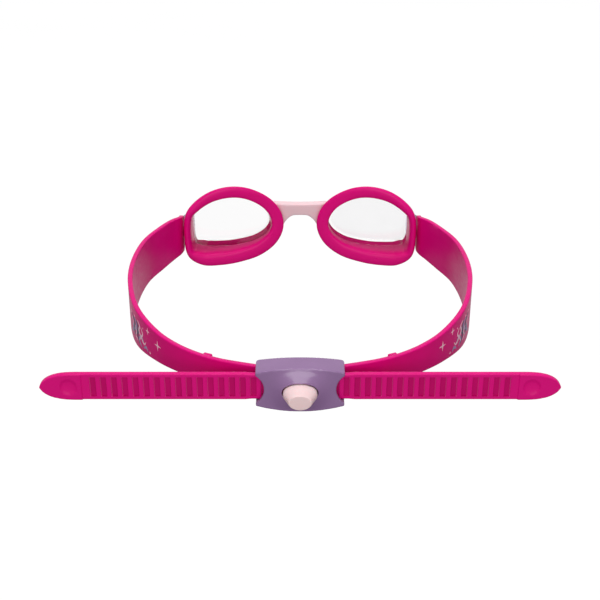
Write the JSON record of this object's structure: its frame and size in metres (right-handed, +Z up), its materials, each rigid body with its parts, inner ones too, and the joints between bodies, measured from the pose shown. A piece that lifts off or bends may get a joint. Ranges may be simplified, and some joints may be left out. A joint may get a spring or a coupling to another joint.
{
  "type": "child's swim goggles",
  "caption": "Child's swim goggles with oval sealed lens cups, a nose bridge and a soft headband folded back through a push-button buckle.",
  "frame": {"origin": "centre of the bounding box's bottom face: on the surface that the goggles rest on, midway between the cups", "axes": "+X across the face towards the wearer's right-hand cup as seen from behind, +Y from the buckle towards the face side, +Z up"},
  "size_m": [0.2132, 0.1776, 0.0432],
  "materials": {
    "lens_clear": "clear gloss polycarbonate",
    "seal_rubber": "satin moulded soft rubber, magenta",
    "strap_silicone": "satin moulded silicone, magenta",
    "bridge_rubber": "satin soft rubber, pale pink",
    "pin_plastic": "gloss, near clear",
    "buckle_plastic": "fine satin moulded plastic, purple",
    "button_plastic": "satin gloss moulded plastic, pale pink",
    "plate_plastic": "plain moulded plastic, pale pink",
    "spring_steel": "bright drawn wire"
  },
  "bodies": {
    "goggle_front": {"lens_right": "lens_clear", "lens_left": "lens_clear", "seal_right": "seal_rubber", "seal_left": "seal_rubber", "strap_pin_right": "pin_plastic", "strap_pin_left": "pin_plastic", "nose_bridge": "bridge_rubber"},
    "headband": {"strap_right": "strap_silicone", "strap_left": "strap_silicone", "buckle_cover": "buckle_plastic", "buckle_base": "buckle_plastic"},
    "release": {"push_button": "button_plastic", "locking_plate": "plate_plastic", "return_spring": "spring_steel"}
  },
  "joints": [
    {"name": "headband_swing", "type": "hinge", "parent": "goggle_front", "child": "headband", "pos_m": [0, 0.08064, 0.01712], "axis": [1, 0, 0], "range_deg": [-20, 20]},
    {"name": "button_press", "type": "slide", "parent": "headband", "child": "release", "axis": [0, 0.9991, 0.0427], "range_m": [0, 0.0015], "stiffness_N_per_m": 400, "springref_m": -0.001, "deforming": ["return_spring"]}
  ]
}
